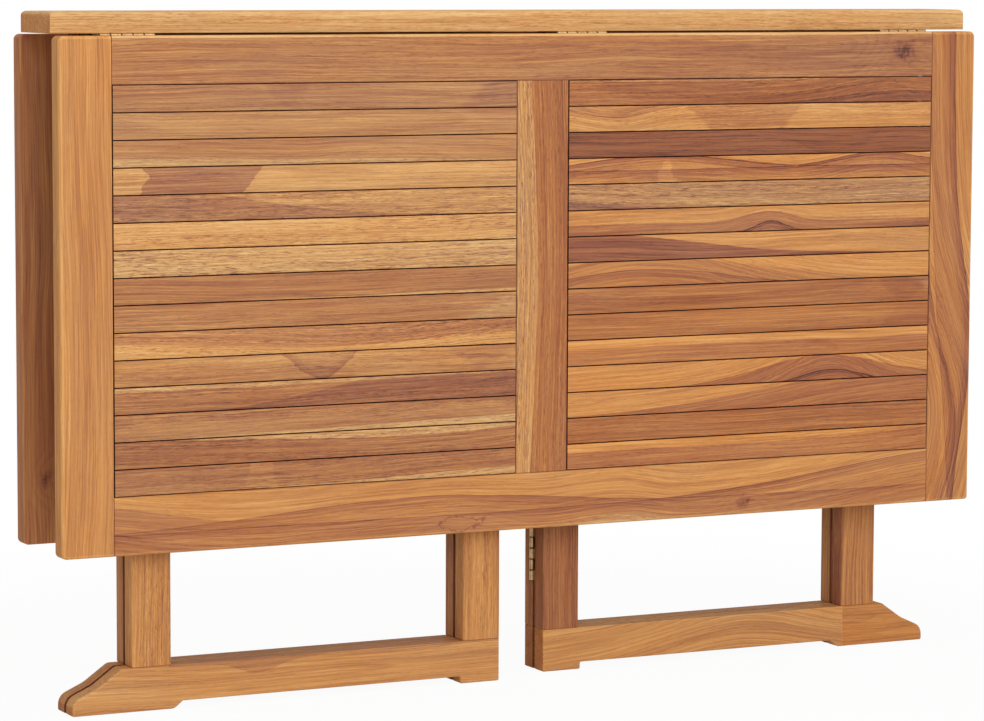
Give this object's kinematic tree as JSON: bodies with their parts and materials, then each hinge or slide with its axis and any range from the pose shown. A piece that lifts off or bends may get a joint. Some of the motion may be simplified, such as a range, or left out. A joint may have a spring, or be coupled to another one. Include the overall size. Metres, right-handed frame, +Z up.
{
  "type": "folding garden table",
  "caption": "Drop-leaf gate-leg garden table in teak, folded flat: slatted leaves hang from a narrow plank, and gates swing out of a footed frame to hold them up.",
  "frame": {"origin": "on the floor under the middle of the folded table", "axes": "+Z up, +X along the plank and leaves, +Y from the front leaf to the rear leaf"},
  "size_m": [1.13, 0.142, 0.75],
  "materials": {
    "teak_boards": "oiled",
    "teak_slats": "oiled",
    "hinge_brass": "satin",
    "screw_steel": "satin"
  },
  "bodies": {
    "table_frame": {"centre_plank": "teak_boards", "left_frame_inner_post": "teak_boards", "left_frame_outer_post": "teak_boards", "left_frame_top_rail": "teak_boards", "left_frame_bottom_rail": "teak_boards", "left_frame_foot": "teak_boards", "right_frame_inner_post": "teak_boards", "right_frame_outer_post": "teak_boards", "right_frame_top_rail": "teak_boards", "right_frame_bottom_rail": "teak_boards", "right_frame_foot": "teak_boards", "front_leaf_hinge_fixed_plates": "hinge_brass", "front_leaf_hinge_pins": "hinge_brass", "front_leaf_hinge_fixed_screws": "hinge_brass", "rear_leaf_hinge_fixed_plates": "hinge_brass", "rear_leaf_hinge_pins": "hinge_brass", "rear_leaf_hinge_fixed_screws": "hinge_brass", "front_gate_hinge_fixed_plates": "hinge_brass", "front_gate_hinge_pins": "hinge_brass", "front_gate_hinge_fixed_screws": "hinge_brass", "rear_gate_hinge_fixed_plates": "hinge_brass", "rear_gate_hinge_pins": "hinge_brass", "rear_gate_hinge_fixed_screws": "hinge_brass", "left_frame_screws": "screw_steel", "right_frame_screws": "screw_steel"},
    "front_leaf": {"front_leaf_left_stile": "teak_boards", "front_leaf_right_stile": "teak_boards", "front_leaf_hinge_rail": "teak_boards", "front_leaf_outer_rail": "teak_boards", "front_leaf_muntin": "teak_boards", "front_leaf_left_slats": "teak_slats", "front_leaf_right_slats": "teak_slats", "front_leaf_hinge_moving_plates": "hinge_brass", "front_leaf_hinge_moving_screws": "hinge_brass"},
    "rear_leaf": {"rear_leaf_left_stile": "teak_boards", "rear_leaf_right_stile": "teak_boards", "rear_leaf_hinge_rail": "teak_boards", "rear_leaf_outer_rail": "teak_boards", "rear_leaf_muntin": "teak_boards", "rear_leaf_left_slats": "teak_slats", "rear_leaf_right_slats": "teak_slats", "rear_leaf_hinge_moving_plates": "hinge_brass", "rear_leaf_hinge_moving_screws": "hinge_brass"},
    "front_gate": {"front_gate_inner_post": "teak_boards", "front_gate_outer_post": "teak_boards", "front_gate_top_rail": "teak_boards", "front_gate_bottom_rail": "teak_boards", "front_gate_foot": "teak_boards", "front_gate_hinge_moving_plates": "hinge_brass", "front_gate_hinge_moving_screws": "hinge_brass"},
    "rear_gate": {"rear_gate_inner_post": "teak_boards", "rear_gate_outer_post": "teak_boards", "rear_gate_top_rail": "teak_boards", "rear_gate_bottom_rail": "teak_boards", "rear_gate_foot": "teak_boards", "rear_gate_hinge_moving_plates": "hinge_brass", "rear_gate_hinge_moving_screws": "hinge_brass"}
  },
  "joints": [
    {"name": "front_leaf_hinge", "type": "hinge", "parent": "table_frame", "child": "front_leaf", "pos_m": [0, -0.0465, 0.7245], "axis": [-1, 0, 0], "range_deg": [0, 90]},
    {"name": "rear_leaf_hinge", "type": "hinge", "parent": "table_frame", "child": "rear_leaf", "pos_m": [0, 0.0465, 0.7245], "axis": [1, 0, 0], "range_deg": [0, 90]},
    {"name": "front_gate_hinge", "type": "hinge", "parent": "table_frame", "child": "front_gate", "pos_m": [-0.031, -0.0125, 0.376], "axis": [0, 0, 1], "range_deg": [0, 1.4]},
    {"name": "rear_gate_hinge", "type": "hinge", "parent": "table_frame", "child": "rear_gate", "pos_m": [0.031, 0.0125, 0.376], "axis": [0, 0, 1], "range_deg": [0, 1.4]}
  ]
}
